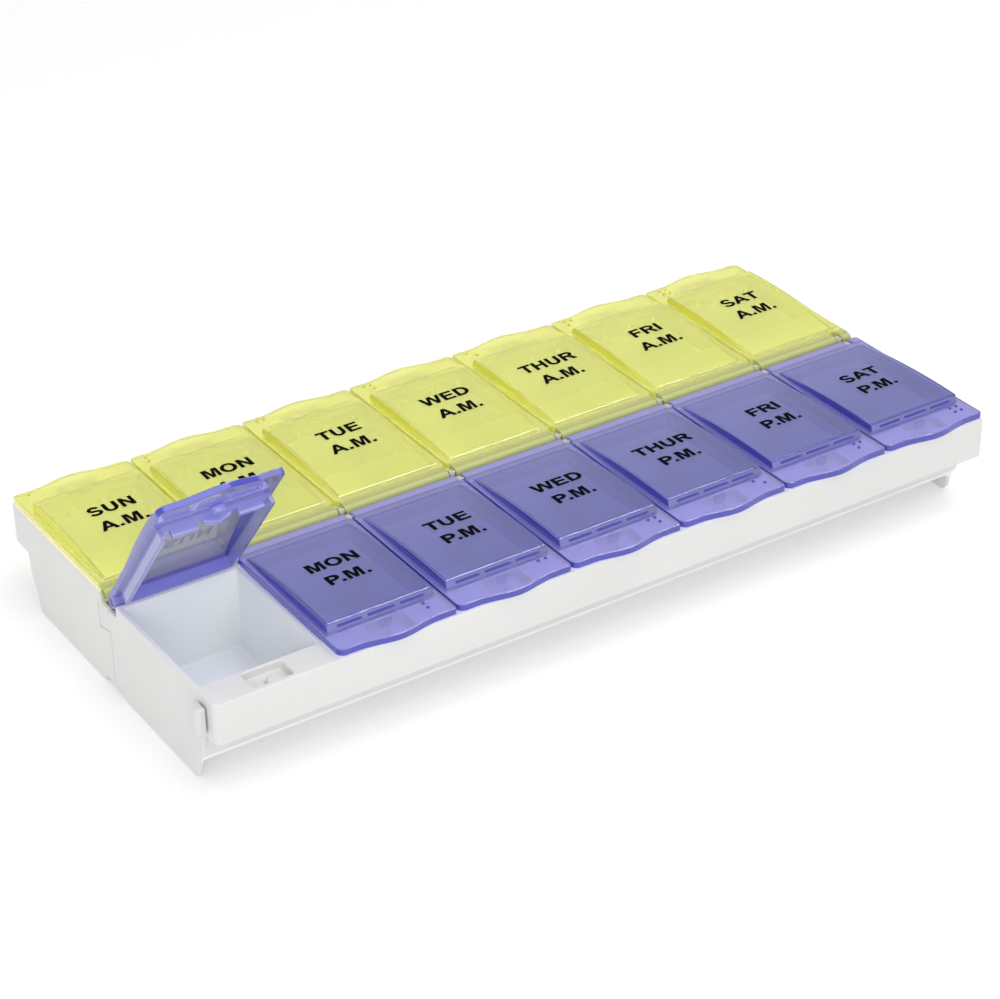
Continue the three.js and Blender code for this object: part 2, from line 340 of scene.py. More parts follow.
def blend(nt, mask, low, high):
    node = nt.nodes.new("ShaderNodeMix")
    node.data_type = "RGBA"
    nt.links.new(mask, node.inputs["Factor"])
    for socket, value in ((node.inputs[6], low), (node.inputs[7], high)):
        if isinstance(value, tuple):
            socket.default_value = (*value, 1.0)
        else:
            nt.links.new(value, socket)
    return node.outputs[2]


def tray_painted_light_and_shade(mat, cells, knuckles):
    """Painted light inside the cells, which are lighter and bluer than the outside, and painted shade on the
    tops of the hinge knuckles, which are darkened to a dark olive.
    """
    nt = mat.node_tree
    shader = nt.nodes["Principled BSDF"]
    where = nt.nodes.new("ShaderNodeTexCoord")
    at = nt.nodes.new("ShaderNodeSeparateXYZ")
    nt.links.new(where.outputs["Object"], at.inputs["Vector"])
    x, y, z = (at.outputs[axis] for axis in "XYZ")
    # Mask of the cell interiors, which get the painted light colour.
    near, far = CELL_Y
    limits = [steps_over(nt, x, (X1 - 0.4) * MM, (X1 - 0.8) * MM, absolute=True),
              steps_over(nt, z, (LEDGE_Z - 0.1) * MM, (LEDGE_Z - 0.5) * MM),
              steps_over(nt, z, (FLOOR_Z[1] - 0.8) * MM, (FLOOR_Z[1] - 0.4) * MM),
              steps_over(nt, y, -(far + 0.4) * MM, -(far + 0.1) * MM),
              steps_over(nt, y, -(near - 0.4) * MM, -(near - 0.1) * MM)]
    cell = limits[0]
    for limit in limits[1:]:
        cell = join(nt, "MULTIPLY", cell, limit)
    # Painted shade: the tops of the hinge knuckles, under the lids' flanges, are darkened to a dark olive.
    high = steps_over(nt, z, (AXIS_Z - 0.3) * MM, (AXIS_Z + 0.1) * MM)
    rear = steps_over(nt, y, -BACK_WALL_Y * MM, -(BACK_WALL_Y - 0.2) * MM)
    plain = shader.inputs["Base Color"].links[0].from_socket
    cells_painted_light = blend(nt, cell, plain, cells)
    nt.links.new(blend(nt, join(nt, "MULTIPLY", high, rear), cells_painted_light, knuckles),
                 shader.inputs["Base Color"])


def clear_plastic(name, flange, window, front, rim, skirt, strip, absorb, density,
                  flange_lamp, window_lamp, flange_clarity, window_clarity):
    """Tinted lid plastic. Each part of the lid has its tint, and so has the light let through. The deep tint
    of the walls and the flange's rim and the dark, matt hinge strip are painted shade, the cloudy tints of the
    dome front and the skirt are painted light, and the window is tinted darker than the flange as painted
    shade of the cell beneath.
    """
    mat, nt, out, shader = new_material(name)
    on_window, on_rim, on_front, on_skirt, on_strip = lid_masks(nt)
    cloud = noise(nt, 45.0, 4.0).outputs["Fac"]
    dim = lambda c: tuple(v * 0.975 for v in c)
    # The window's tint is darker than the flange's: painted shade of the cell beneath.
    tint = blend(nt, on_window, ramp(nt, cloud, dim(flange), flange),
                 ramp(nt, cloud, dim(window), window))
    # Rim and hinge strip tints: painted shade. Dome front and skirt tints: painted light.
    for mask, colour in ((on_rim, rim), (on_front, front), (on_skirt, skirt), (on_strip, strip)):
        tint = blend(nt, mask, tint, colour)
    nt.links.new(tint, shader.inputs["Base Color"])
    # Lower clarity on the rims, dome front, skirt and strip shows more of their tints: painted shade on rims
    # and strip, painted light on dome front and skirt.
    clarity = blend(nt, on_window, (flange_clarity,) * 3, (window_clarity,) * 3)
    for mask, value in ((on_rim, RIM_CLARITY), (on_front, FRONT_CLARITY),
                        (on_skirt, SKIRT_CLARITY), (on_strip, STRIP_CLARITY)):
        clarity = blend(nt, mask, clarity, (value,) * 3)
    nt.links.new(clarity, shader.inputs["Transmission Weight"])
    wear = noise(nt, 160.0, 6.0, 0.7).outputs["Fac"]
    gloss = blend(nt, on_window, ramp(nt, wear, 0.07, 0.1), ramp(nt, wear, 0.06, 0.09))
    # The hinge strip's dark tint is painted shade; here the strip is also made matt and without coat.
    nt.links.new(blend(nt, on_strip, gloss, (STRIP_ROUGH,) * 3), shader.inputs["Roughness"])
    nt.links.new(blend(nt, on_strip, (LID_COAT,) * 3, (0.0,) * 3), shader.inputs["Coat Weight"])
    bump(nt, shader, noise(nt, 320.0, 2.0).outputs["Fac"], 0.04, 0.00002)
    shader.inputs["IOR"].default_value = 1.47
    shader.inputs["Coat Roughness"].default_value = 0.03
    volume = nt.nodes.new("ShaderNodeVolumeAbsorption")
    volume.inputs["Color"].default_value = (*absorb, 1.0)
    volume.inputs["Density"].default_value = density
    nt.links.new(volume.outputs["Volume"], out.inputs["Volume"])
    through = nt.nodes.new("ShaderNodeBsdfTransparent")
    # The window lets less lamp light through than the flange, which darkens the cell beneath: painted shade.
    nt.links.new(blend(nt, on_window, flange_lamp, window_lamp), through.inputs["Color"])
    path = nt.nodes.new("ShaderNodeLightPath")
    mix = nt.nodes.new("ShaderNodeMixShader")
    nt.links.new(path.outputs["Is Shadow Ray"], mix.inputs["Fac"])
    nt.links.new(shader.outputs["BSDF"], mix.inputs[1])
    nt.links.new(through.outputs["BSDF"], mix.inputs[2])
    nt.links.new(mix.outputs["Shader"], out.inputs["Surface"])
    return mat


def ink_material():
    mat, nt, _, shader = new_material("print_ink")
    grain = noise(nt, 1400.0, 3.0)
    nt.links.new(ramp(nt, grain.outputs["Fac"], (0.001, 0.001, 0.0015), (0.005, 0.005, 0.006)),
                 shader.inputs["Base Color"])
    nt.links.new(ramp(nt, grain.outputs["Fac"], 0.7, 0.85), shader.inputs["Roughness"])
    bump(nt, shader, grain.outputs["Fac"], 0.1, 0.00003)
    shader.inputs["Specular IOR Level"].default_value = 0.02
    return mat


def wire_material():
    mat, nt, _, shader = new_material("hinge_wire_steel")
    drawn = noise(nt, 700.0, 3.0)
    nt.links.new(ramp(nt, drawn.outputs["Fac"], (0.5, 0.51, 0.53), (0.66, 0.67, 0.68)),
                 shader.inputs["Base Color"])
    nt.links.new(ramp(nt, drawn.outputs["Fac"], 0.22, 0.4), shader.inputs["Roughness"])
    shader.inputs["Metallic"].default_value = 1.0
    bump(nt, shader, drawn.outputs["Fac"], 0.1, 0.00004)
    return mat


def floor_material():
    mat, nt, _, shader = new_material("studio_floor")
    nt.links.new(ramp(nt, noise(nt, 3.0).outputs["Fac"], 0.67, 0.69), shader.inputs["Base Color"])
    shader.inputs["Emission Color"].default_value = (1.0, 1.0, 1.0, 1.0)
    shader.inputs["Emission Strength"].default_value = 0.32
    shader.inputs["Roughness"].default_value = 0.6
    shader.inputs["Specular IOR Level"].default_value = 0.2
    return mat


# Clarity of the masked lid parts, low so that their painted shade and painted light tints show.
RIM_CLARITY, FRONT_CLARITY, SKIRT_CLARITY, STRIP_CLARITY = 0.5, 0.5, 0.6, 0.35
LID_COAT, STRIP_ROUGH = 0.7, 0.5

WHITE = moulded("tray_white_plastic", (0.66, 0.66, 0.652), (0.70, 0.70, 0.692),
                rough=(0.32, 0.42), shine=0.4)
# cells: painted light, lighter and bluer than the outside; knuckles: painted shade under the lids' flanges.
tray_painted_light_and_shade(WHITE, cells=(0.87, 0.895, 0.88), knuckles=(0.42, 0.42, 0.34))
GREY = moulded("peg_grey_plastic", (0.60, 0.605, 0.61), (0.66, 0.665, 0.67), rough=(0.32, 0.45))
# Per part tints of one plastic: window, rim and strip are painted shade, front and skirt are painted light.
YELLOW = clear_plastic(
    "lid_yellow_plastic",
    flange=(0.94, 0.94, 0.39), window=(0.92, 0.93, 0.37), front=(0.95, 0.95, 0.46),
    rim=(0.92, 0.90, 0.18), skirt=(0.95, 0.95, 0.45), strip=(0.52, 0.54, 0.20),
    absorb=(0.93, 0.94, 0.30), density=180.0,
    flange_lamp=(0.95, 0.95, 0.80), window_lamp=(0.97, 0.98, 0.72),
    flange_clarity=0.70, window_clarity=0.76)
VIOLET = clear_plastic(
    "lid_violet_plastic",
    flange=(0.61, 0.59, 0.86), window=(0.46, 0.47, 0.80), front=(0.42, 0.42, 0.78),
    rim=(0.09, 0.10, 0.56), skirt=(0.46, 0.47, 0.80), strip=(0.36, 0.36, 0.68),
    absorb=(0.40, 0.39, 0.96), density=300.0,
    flange_lamp=(0.82, 0.83, 0.86), window_lamp=(0.50, 0.52, 0.64),
    flange_clarity=0.80, window_clarity=0.90)
# Opaque deep colours for the ribs and Braille dots: painted shade where the clear plastic looks dark.
RIB_AND_DOT_SHADE_VIOLET = moulded("rib_and_dot_shade_violet", (0.07, 0.075, 0.36), (0.085, 0.09, 0.40),
                     rough=(0.5, 0.6), shine=0.1)
RIB_AND_DOT_SHADE_YELLOW = moulded("rib_and_dot_shade_yellow", (0.56, 0.56, 0.08), (0.62, 0.62, 0.10),
                     rough=(0.5, 0.6), shine=0.1)
INK = ink_material()
WIRE = wire_material()


# ---- trays ----------------------------------------------------------------------------------
# Profile of the cells with the ledge and the hanging front band, (y, z).
SHELL = [(-BACK_WALL_Y, LEDGE_Z), (-BAND_Y, LEDGE_Z), (-BAND_Y, BAND_BOTTOM),
         (-BAND_Y + LEDGE_T, BAND_BOTTOM), (-BAND_Y + LEDGE_T, LEDGE_Z - LEDGE_T),
         (-FRONT_WALL_Y, LEDGE_Z - LEDGE_T), (-FRONT_WALL_Y, 9.6), (-42.6, 7.0), (-40.9, 4.9),
         (-38.6, FLOOR_Z[0]), (-BACK_WALL_Y, FLOOR_Z[0])]
CELL = [(-CELL_Y[0], LEDGE_Z + 1), (-CELL_Y[1], LEDGE_Z + 1), (-CELL_Y[1], 10.2), (-41.3, 7.7),
        (-39.7, 5.9), (-37.4, FLOOR_Z[1]), (-6.4, FLOOR_Z[1])]
# End wall with its foot; the far end's notch has a square step instead of a ramp.
END = [(-SEAM, 22.6), (-BACK_WALL_Y, 22.6), (-BACK_WALL_Y, LEDGE_Z), (-BAND_Y, LEDGE_Z),
       (-BAND_Y, BAND_BOTTOM), (-44.2, BAND_BOTTOM), (-43.6, 9.5), (-41.4, 6.2), (-40.4, 1.0),
       (-39.4, 0)]
RAMP_NOTCH = [(-RAMP[1], 0), (-RAMP[0], NOTCH_Z), (-SEAM, NOTCH_Z)]
STEP_NOTCH = [(-NOTCH_Y, 0), (-NOTCH_Y, NOTCH_Z), (-SEAM, NOTCH_Z)]
# Key on one end wall and the slot that takes the other tray's key.
KEY = [(-0.6, 16.7), (5.4, 15.4), (5.4, 21.9), (-0.6, 21.3)]
KEY_SLOT = [(0.0, 16.45), (-5.52, 15.25), (-5.52, 22.03), (0.0, 21.48)]


def cell_cutter(a, b):
    mid = (a + b) / 2
    draft = lambda c: Vector((mid + (c.x - mid) * (1 - 0.0033 * (LEDGE_Z - c.z)), c.y, c.z))
    return prism(CELL, "x", a, b, soft=0.8, segments=4, reshape=draft)


def rim_cutter(a, b):
    """Breaks the upper edge of a cell."""
    y0, y1, grow = -CELL_Y[1], -CELL_Y[0], 0.22
    inside = round_rect(a, b, y0, y1, 0.8)
    wide = round_rect(a - grow, b + grow, y0 - grow, y1 + grow, 0.8 + grow)
    return loft([(LEDGE_Z - grow, inside), (LEDGE_Z + 0.02, wide), (LEDGE_Z + 1, wide)])


def pocket_cutter(x):
    a, b = x + POCKET_X[0], x + POCKET_X[1]
    y0, y1 = -POCKET_Y[1], -POCKET_Y[0]
    rings = []
    for z, grow in ((LEDGE_Z - POCKET_DEPTH, -0.35), (LEDGE_Z - POCKET_DEPTH + 0.1, -0.15),
                    (LEDGE_Z - POCKET_DEPTH + 0.35, -0.05), (LEDGE_Z - 0.25, 0.0),
                    (LEDGE_Z + 0.02, 0.25), (LEDGE_Z + 1, 0.25)):
        rings.append((z, round_rect(a - grow, b + grow, y0 - grow, y1 + grow, 0.8 + grow)))
    return loft(rings)


def latch_bump(x):
    """Rounded stop that the lid's latch pin snaps over."""
    base = LEDGE_Z - POCKET_DEPTH - 0.1
    rings = [(base, circle(x, -BUMP_Y, BUMP_R, 24))]
    for i in range(6):
        a = math.radians(90 * i / 6)
        z = base + BUMP_H * (0.55 + 0.45 * math.sin(a))
        rings.append((z, circle(x, -BUMP_Y, BUMP_R * (0.45 + 0.52 * math.cos(a)), 24)))
    return loft(rings)


def corner_cutter():
    """Rounds the upright edge of the band where the peg is."""
    cx, cy = X0 + CORNER_R, -BAND_Y + CORNER_R
    rings = []
    for z, r in ((BAND_BOTTOM - 1, CORNER_R - SOFT), (BAND_BOTTOM, CORNER_R - SOFT),
                 (BAND_BOTTOM + SOFT, CORNER_R), (LEDGE_Z - SOFT, CORNER_R),
                 (LEDGE_Z, CORNER_R - SOFT), (LEDGE_Z + 1, CORNER_R - SOFT)):
        rings.append((z, [(X0 - 1, cy)] + arc(cx, cy, r, r, 180, 270, 8)
                      + [(cx, -BAND_Y - 1), (X0 - 1, -BAND_Y - 1)]))
    return loft(rings)


def lug_places():
    inner = [X0 + (k + 1) * PITCH for k in range(len(DAYS) - 1)]
    return inner + [X0 + END_LUG_X + LUG_W / 2, X1 - END_LUG_X - LUG_W / 2]


def tray_mesh():
    """One tray with its seven cells, in the front position."""
    steps = [("UNION", prism(END + RAMP_NOTCH, "x", X0, X0 + WALL, SOFT)),
             ("UNION", prism(END + STEP_NOTCH, "x", X1 - WALL, X1, SOFT)),
             ("UNION", prism(KEY, "x", X0, X0 + WALL, 0.2)),
             ("DIFFERENCE", corner_cutter())]
    for k in range(len(DAYS)):
        x = X0 + k * PITCH
        under = LEDGE_Z - POCKET_DEPTH - WALL
        steps.append(("UNION", block(x + POCKET_X[0] - WALL, x + POCKET_X[1] + WALL,
                                     -BAND_Y + 0.4, -43.0, under, LEDGE_Z - 0.5, 0.25)))
    for x in lug_places():
        a, b = x - LUG_W / 2, x + LUG_W / 2
        steps.append(("UNION", block(a, b, -5.2, -0.3, 20.4, AXIS_Z, 0.2)))
        steps.append(("UNION", turned(LUG_R, a, b, -AXIS_Y, AXIS_Z, soft=0.2)))
    for k in range(len(DAYS)):
        x = X0 + k * PITCH
        a = x + (WALL if k == 0 else WALL / 2)
        b = x + PITCH - (WALL if k == len(DAYS) - 1 else WALL / 2)
        steps.append(("DIFFERENCE", cell_cutter(a, b)))
        steps.append(("DIFFERENCE", rim_cutter(a, b)))
        steps.append(("DIFFERENCE", pocket_cutter(x)))
        steps.append(("UNION", latch_bump(x + BUMP_X)))
    for x in lug_places():
        steps.append(("DIFFERENCE", turned(BORE_R, x - 2, x + 2, -AXIS_Y, AXIS_Z, 20)))
    steps.append(("DIFFERENCE", prism(KEY_SLOT, "x", X1 - WALL - 0.5, X1 + 1)))
    return finish_mesh(combine(prism(SHELL, "x", X0, X1, SOFT), steps), "tray")


def peg_mesh():
    a, b = PEG_Y
    outline = ([(X0 - 0.3, -b)] + arc(X0 - PEG_OUT + 1.2, -b + 1.2, 1.2, 1.2, 270, 180, 6)
               + arc(X0 - PEG_OUT + 0.6, -a - 0.6, 0.6, 0.6, 180, 90, 5) + [(X0 - 0.3, -a)])
    return finish_mesh(prism(outline, "z", *PEG_Z, soft=0.4, segments=3), "peg")


# ---- lids -----------------------------------------------------------------------------------
def flange_outline():
    left = arc(-HALF + CORNER_LEFT, FLANGE_FRONT - CORNER_LEFT, CORNER_LEFT, CORNER_LEFT,
               180, 90, 8)
    right = arc(HALF - CORNER_RIGHT, FLANGE_FRONT - CORNER_RIGHT, CORNER_RIGHT, CORNER_RIGHT,
                90, 0, 6)
    tab = []
    for i in range(25):
        t = -1 + i / 12
        u = abs(t)
        rise = 1 - u * u * (3 - 2 * u)
        tab.append((t * TAB_HALF, FLANGE_FRONT + (TAB_FRONT - FLANGE_FRONT) * rise))
    back = [(HALF, FLANGE_BACK + 0.8), (HALF - 0.8, FLANGE_BACK),
            (-HALF + 0.8, FLANGE_BACK), (-HALF, FLANGE_BACK + 0.8)]
    return [(x, -y) for x, y in left + tab + right + back]


def dome_z(y, drop=0.0):
    """Height of the dome's top face at a distance y from the centre line."""
    t = (y - DOME_Y[0]) / (DOME_TOP_FRONT - DOME_Y[0])
    return DOME_Z[0] + (DOME_Z[1] - DOME_Z[0]) * t + 4 * DOME_RISE * t * (1 - t) - drop


def arch(drop, n, y0=DOME_Y[0], y1=DOME_TOP_FRONT):
    ys = [y0 + (y1 - y0) * i / n for i in range(n + 1)]
    return [(-y, dome_z(y, drop)) for y in ys]


def barrels_for(slot):
    edge = PITCH / 2 - LUG_W / 2 - LUG_GAP
    lug = PITCH / 2 - END_LUG_X
    if slot == 0:
        return [(-HALF, -lug - LUG_GAP), (-lug + LUG_W + LUG_GAP, edge)]
    if slot == len(DAYS) - 1:
        return [(-edge, lug - LUG_W - LUG_GAP), (lug + LUG_GAP, HALF)]
    return [(-edge, edge)]


def lid_mesh(slot):
    """One lid moulding: flange with thumb tab, dome, skirt, tongues, latch pin and barrels."""
    lean = lambda c: Vector((c.x * (1 - 0.006 * max(0.0, c.z - FLANGE_Z[1])), c.y, c.z))
    plate = prism(flange_outline(), "z", *FLANGE_Z, soft=0.28, segments=3)
    base_z = FLANGE_Z[0] + 0.3
    dome = prism([*arch(0, 18), (-DOME_Y[1], base_z), (-DOME_Y[0], base_z)], "x",
                 -DOME_HALF, DOME_HALF, soft=0.35, segments=4, reshape=lean)
    skirt = block(-DOME_HALF, DOME_HALF, -SKIRT_Y[1], -SKIRT_Y[0], SKIRT_BOTTOM,
                  FLANGE_Z[1] - 0.2, soft=0.25)
    inner = DOME_HALF - DOME_WALL
    front, back = SKIRT_Y[1] - DOME_WALL, SKIRT_Y[0] + DOME_WALL
    hollow = prism([(-back, SKIRT_BOTTOM - 1), *arch(DOME_WALL, 18, back, front),
                    (-front, SKIRT_BOTTOM - 1)], "x", -inner, inner, soft=0.4, segments=3)
    steps = [("UNION", dome), ("UNION", skirt), ("DIFFERENCE", hollow),
             ("DIFFERENCE", block(-inner, inner, -SKIRT_Y[1] - 1, -front + 0.01,
                                  SKIRT_BOTTOM - 1, RIDGE_BOTTOM))]
    near, far = -SKIRT_Y[1] + 0.1, -front + 0.1
    for a, b in TONGUES:
        steps.append(("UNION", block(a, b, near, far, SKIRT_BOTTOM, RIDGE_BOTTOM + 0.5, 0.2)))
    a, b = MIDDLE_TONGUE
    r = (b - a) / 2
    boss = [(b, RIDGE_BOTTOM + 0.5), (a, RIDGE_BOTTOM + 0.5)]
    boss += arc(a + r, SKIRT_BOTTOM + 1.7, r, 1.7, 180, 360, 16)
    steps.append(("UNION", prism(boss, "y", near, far, 0.15)))
    pin = [(FLANGE_Z[0] - 1.65, circle(0, -PIN_Y, 1.35, 24, 0.42)),
           (FLANGE_Z[0] - 1.4, circle(0, -PIN_Y, 1.62, 24, 0.42)),
           (FLANGE_Z[0] + 0.3, circle(0, -PIN_Y, 1.8, 24, 0.42))]
    steps.append(("UNION", loft(pin)))
    for a, b in barrels_for(slot):
        steps.append(("UNION", turned(BARREL_R, a, b, -AXIS_Y, AXIS_Z, 32, 0.2)))
        steps.append(("UNION", block(a, b, -FLANGE_BACK - 1.2, -AXIS_Y, AXIS_Z + 0.25,
                                     FLANGE_Z[1] - 0.03, 0.2)))
    for a, b in barrels_for(slot):
        steps.append(("DIFFERENCE", turned(BORE_R, a - 0.5, b + 0.5, -AXIS_Y, AXIS_Z, 20)))
    return finish_mesh(combine(plate, steps), f"lid_{slot}")


def lid_matrix(row, k):
    """From the closed front position to where the lid is at rest."""
    slot = k if row == "pm" else len(DAYS) - 1 - k
    shift = Matrix.Translation(((X0 + (slot + 0.5) * PITCH) * MM, 0, 0))
    if row == "am":
        return Matrix.Rotation(math.pi, 4, "Z") @ shift
    if k == 0:
        axis = Matrix.Translation((0, -AXIS_Y * MM, AXIS_Z * MM))
        return shift @ axis @ Matrix.Rotation(math.radians(-OPEN_AT_REST), 4, "X") @ axis.inverted()
    return shift


def add_piece(name, me, mat, body, matrix=None):
    ob = bpy.data.objects.new(name, me)
    collection.objects.link(ob)
    if matrix is not None:
        ob.matrix_world = matrix
    me.materials.clear()
    me.materials.append(mat)
    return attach(ob, body)


# ---- print ----------------------------------------------------------------------------------
# A plain bold sans-serif alphabet: (advance, outline, counter), 0.716 high.
TOP = 0.716


def letter_s():
    """A stroke of even width along two bowls."""
    half = 0.066
    path = [(arc(0.33, 0.513, 0.19, 0.155, 18, 270, 14), (0.19, 0.155)),
            (arc(0.335, 0.203, 0.218, 0.155, 90, -162, 14), (0.218, 0.155))]
    spine = path[0][0] + path[1][0][1:]
    left, right = [], []
    for i, (x, y) in enumerate(spine):
        ax, ay = spine[max(0, i - 1)]
        bx, by = spine[min(len(spine) - 1, i + 1)]
        length = math.hypot(bx - ax, by - ay)
        nx, ny = -(by - ay) / length * half, (bx - ax) / length * half
        left.append((x + nx, y + ny))
        right.append((x - nx, y - ny))
    return left + right[::-1]


ALPHABET = {
    "S": (0.667, letter_s(), None),
    "U": (0.722, [(0.072, TOP), *arc(0.358, 0.27, 0.286, 0.282, 180, 360, 16), (0.644, TOP),
                  (0.499, TOP), *arc(0.358, 0.27, 0.141, 0.162, 360, 180, 14), (0.217, TOP)],
          None),
    "N": (0.722, [(0.074, 0), (0.074, TOP), (0.215, TOP), (0.508, 0.238), (0.508, TOP),
                  (0.642, TOP), (0.642, 0), (0.497, 0), (0.208, 0.467), (0.208, 0)], None),
    "M": (0.833, [(0.071, 0), (0.071, TOP), (0.287, TOP), (0.417, 0.228), (0.546, TOP),
                  (0.762, TOP), (0.762, 0), (0.628, 0), (0.628, 0.564), (0.486, 0), (0.347, 0),
                  (0.205, 0.564), (0.205, 0)], None),
    "O": (0.778, arc(0.389, 0.358, 0.346, 0.37, 0, 350, 35),
          arc(0.389, 0.358, 0.197, 0.247, 0, 350, 35)),
    "T": (0.611, [(0.234, 0), (0.234, 0.595), (0.022, 0.595), (0.022, TOP), (0.591, TOP),
                  (0.591, 0.595), (0.379, 0.595), (0.379, 0)], None),
    "E": (0.667, [(0.073, 0), (0.073, TOP), (0.604, TOP), (0.604, 0.595), (0.218, 0.595),
                  (0.218, 0.437), (0.577, 0.437), (0.577, 0.316), (0.218, 0.316),
                  (0.218, 0.121), (0.617, 0.121), (0.617, 0)], None),
    "W": (0.944, [(0.175, 0), (0.004, TOP), (0.152, TOP), (0.26, 0.224), (0.391, TOP),
                  (0.563, TOP), (0.689, 0.216), (0.799, TOP), (0.945, TOP), (0.771, 0),
                  (0.617, 0), (0.474, 0.535), (0.331, 0)], None),
    "D": (0.722, [(0.072, 0), (0.072, TOP), *arc(0.33, 0.358, 0.35, 0.358, 90, -90, 18)],
          [(0.217, 0.121), (0.217, 0.595), *arc(0.31, 0.358, 0.22, 0.237, 90, -90, 16)]),
    "H": (0.722, [(0.073, 0), (0.073, TOP), (0.218, TOP), (0.218, 0.434), (0.504, 0.434),
                  (0.504, TOP), (0.649, TOP), (0.649, 0), (0.504, 0), (0.504, 0.313),
                  (0.218, 0.313), (0.218, 0)], None),
    "R": (0.722, [(0.073, 0), (0.073, TOP), *arc(0.40, 0.508, 0.265, 0.208, 90, -62, 14),
                  (0.6, 0.22), (0.714, 0), (0.54, 0), (0.41, 0.215), (0.33, 0.299),
                  (0.218, 0.299), (0.218, 0)],
          [(0.218, 0.595), *arc(0.385, 0.504, 0.13, 0.091, 90, -90, 12), (0.218, 0.413)]),
    "F": (0.611, [(0.074, 0), (0.074, TOP), (0.565, TOP), (0.565, 0.595), (0.219, 0.595),
                  (0.219, 0.426), (0.518, 0.426), (0.518, 0.304), (0.219, 0.304), (0.219, 0)],
          None),
    "I": (0.278, [(0.068, 0), (0.068, TOP), (0.213, TOP), (0.213, 0)], None),
    "A": (0.722, [(0.718, 0), (0.561, 0), (0.498, 0.163), (0.212, 0.163), (0.153, 0), (0, 0),
                  (0.279, TOP), (0.432, TOP)], [(0.452, 0.283), (0.353, 0.549), (0.256, 0.283)]),
    "P": (0.667, [(0.073, 0), (0.073, TOP), *arc(0.355, 0.493, 0.266, 0.223, 90, -90, 16),
                  (0.218, 0.27), (0.218, 0)],
          [(0.218, 0.595), *arc(0.335, 0.493, 0.132, 0.102, 90, -90, 12), (0.218, 0.391)]),
    ".": (0.278, [(0.07, 0), (0.07, 0.14), (0.21, 0.14), (0.21, 0)], None),
}


def heavier(loop, by):
    """Moves a closed outline outwards, or inwards if by is negative, with square corners."""
    n = len(loop)
    area = sum(loop[i][0] * loop[(i + 1) % n][1] - loop[(i + 1) % n][0] * loop[i][1]
               for i in range(n))
    side = by if area > 0 else -by
    out = []
    for i in range(n):
        p, q, r = Vector(loop[i - 1]), Vector(loop[i]), Vector(loop[(i + 1) % n])
        a, b = (q - p).normalized(), (r - q).normalized()
        na, nb = Vector((a.y, -a.x)), Vector((b.y, -b.x))
        middle = (na + nb).normalized()
        reach = min(side / max(0.3, middle.dot(na)), 2 * abs(side)) if side > 0 else \
            max(side / max(0.3, middle.dot(na)), -2 * abs(side))
        out.append(tuple(q + middle * reach))
    return out


def line_mesh(text, centre_x, base_y, turned_round):
    """Raised ink for one line of print, lying on the dome of a lid in the front position."""
    curve = bpy.data.curves.new("line", "CURVE")
    curve.dimensions = "2D"
    curve.fill_mode = "BOTH"
    curve.extrude = INK_T
    gaps = [KERN.get(pair, 0.0) for pair in map("".join, zip(text, text[1:]))] + [0.0]
    pen = -(sum(ALPHABET[c][0] for c in text) + sum(gaps)) * EM / 2
    for c, gap in zip(text, gaps):
        advance, outline, counter = ALPHABET[c]
        for loop, by in ((outline, BOLD), (counter, -BOLD)):
            if loop is None:
                continue
            loop = heavier(loop, by)
            spline = curve.splines.new("POLY")
            spline.points.add(len(loop) - 1)
            for p, (u, v) in zip(spline.points, loop):
                p.co = (pen + u * EM, v / TOP * CAP, 0, 1)
            spline.use_cyclic_u = True
        pen += (advance + gap) * EM
    ob = bpy.data.objects.new("line", curve)
    collection.objects.link(ob)
    dg = bpy.context.evaluated_depsgraph_get()
    dg.update()
    me = bpy.data.meshes.new_from_object(ob.evaluated_get(dg))
    bpy.data.objects.remove(ob)
    bpy.data.curves.remove(curve)
    for v in me.vertices:
        x, y = v.co.x + centre_x, v.co.y + base_y
        v.co = Vector((x, y, dome_z(abs(y)) + INK_LIFT + v.co.z)) * MM
    if turned_round:
        me.transform(Matrix.Rotation(-math.pi, 4, "Z"))
    return me


def add_print(row, day, body, matrix):
    lines = [day.upper(), "P.M." if row == "pm" else "A.M."]
    for i, text in enumerate(lines):
        me = line_mesh(text, PRINT_SHIFT[row], BASELINES[row][i], row == "am")
        add_piece(f"print_{row}_{day}_{i + 1}", me, INK, body, matrix)


def add_latch_ribs(row, day, body, matrix, mat):
    """Ribs across the dome's front face, one above each catch tongue, in an opaque deep colour: painted shade
    for the dark dashes of the catch tongues seen through the lid.
    """
    foot = FLANGE_Z[0] + 0.3
    lean = (DOME_Y[1] - DOME_TOP_FRONT) / (DOME_Z[1] - foot)
    section = []
    for rise, edge in zip(RIB_Z, ((0.3, -RIB_OUT), (-RIB_OUT, 0.3))):
        z = FLANGE_Z[1] + rise
        section += [(-DOME_Y[1] + lean * (z - foot) + out, z) for out in edge]
    first, *others = (prism(section, "x", a, b, 0.1) for a, b in (*TONGUES, MIDDLE_TONGUE))
    me = finish_mesh(combine(first, [("UNION", ob) for ob in others]), "ribs", 30)
    add_piece(f"latch_ribs_{row}_{day}", me, mat, body, matrix)


